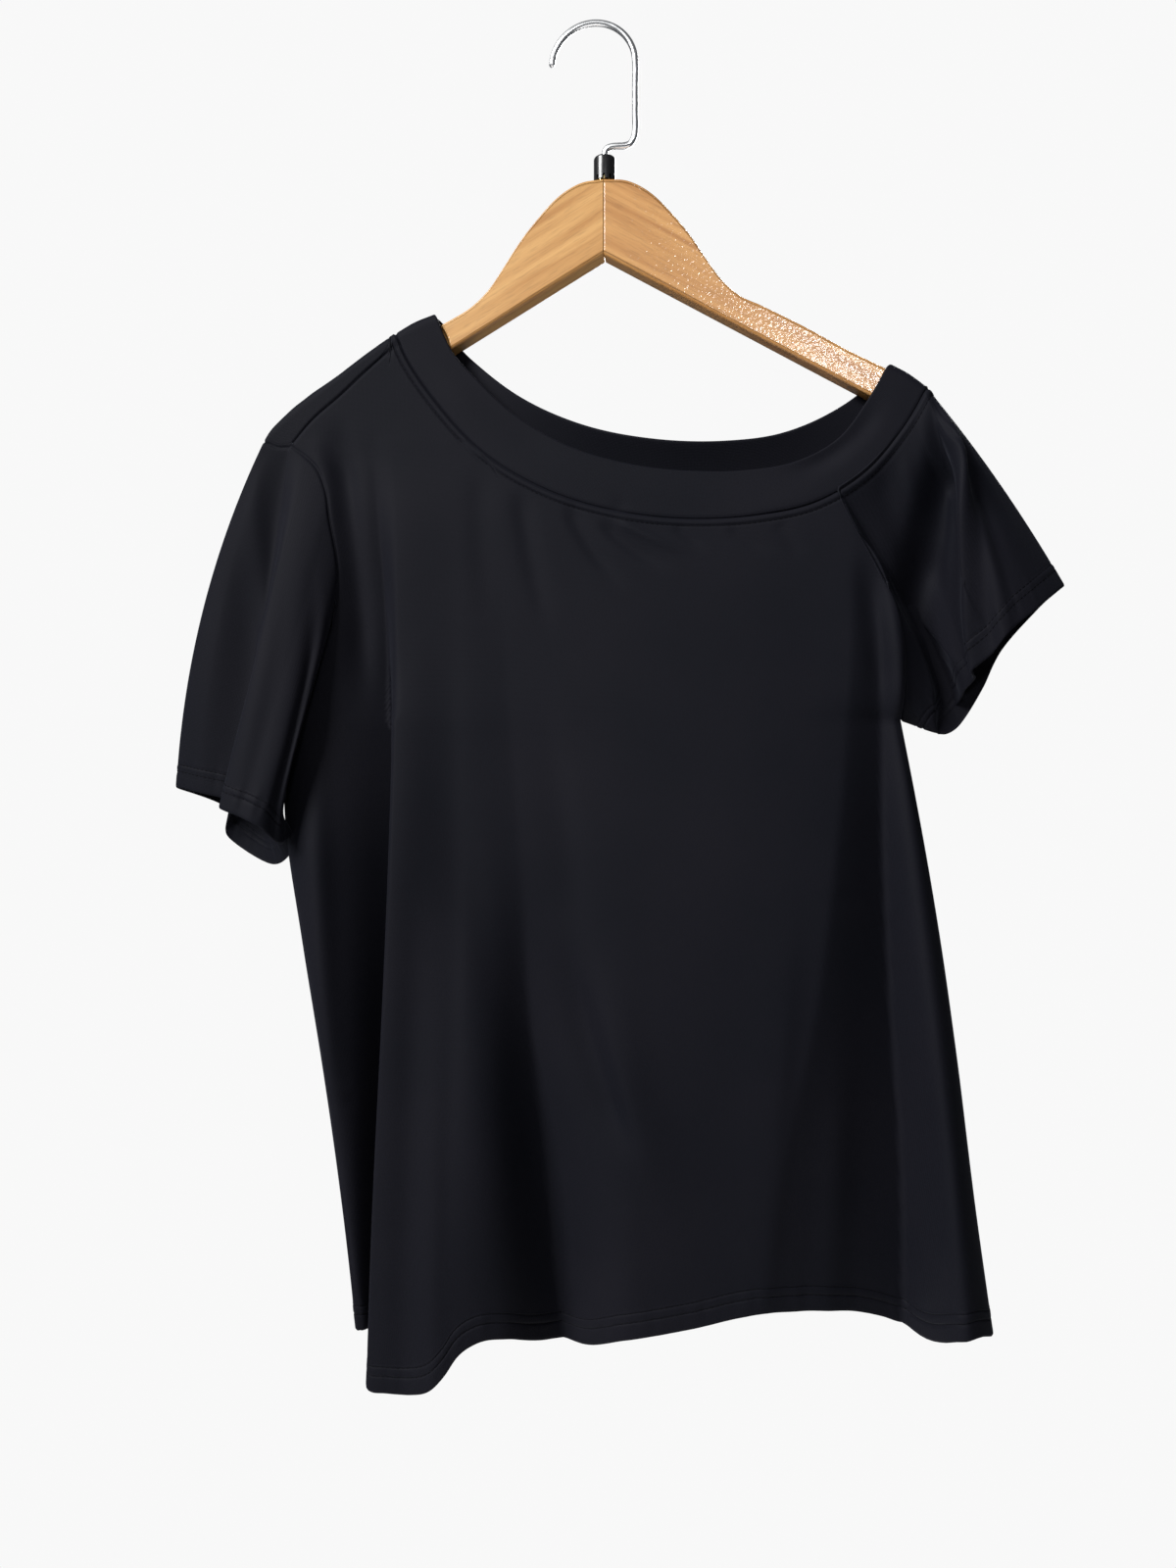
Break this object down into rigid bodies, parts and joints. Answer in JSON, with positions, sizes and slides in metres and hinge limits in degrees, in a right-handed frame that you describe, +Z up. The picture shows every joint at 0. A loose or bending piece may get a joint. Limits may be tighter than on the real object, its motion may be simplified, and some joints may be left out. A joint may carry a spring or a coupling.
{
  "type": "off-shoulder t-shirt on a wooden hanger",
  "caption": "Black jersey t-shirt with one off-shoulder sleeve set straight into a wide folded neckband, hanging on a flat wooden hanger with a wire hook.",
  "frame": {"origin": "inside of the crown of the hanger's hook, where the rail or peg lies", "axes": "+Z up, +X to the viewer's right of the front, -Y out of the front"},
  "size_m": [0.56, 0.0933, 0.8438],
  "materials": {
    "jersey": "smooth heavy jersey, near black with a cold tint, faint sheen",
    "wood": "lacquered beech, glossy",
    "chrome": "chromed wire",
    "brass": "bright brass ferrule",
    "black_plastic": "glossy black"
  },
  "bodies": {
    "root": {"front": "jersey", "back": "jersey", "neckband": "jersey", "sleeve_left": "jersey", "sleeve_right": "jersey", "hanger_left": "wood", "hanger_right": "wood", "hook": "chrome", "size_cap": "black_plastic", "ferrule": "brass"}
  },
  "joints": []
}
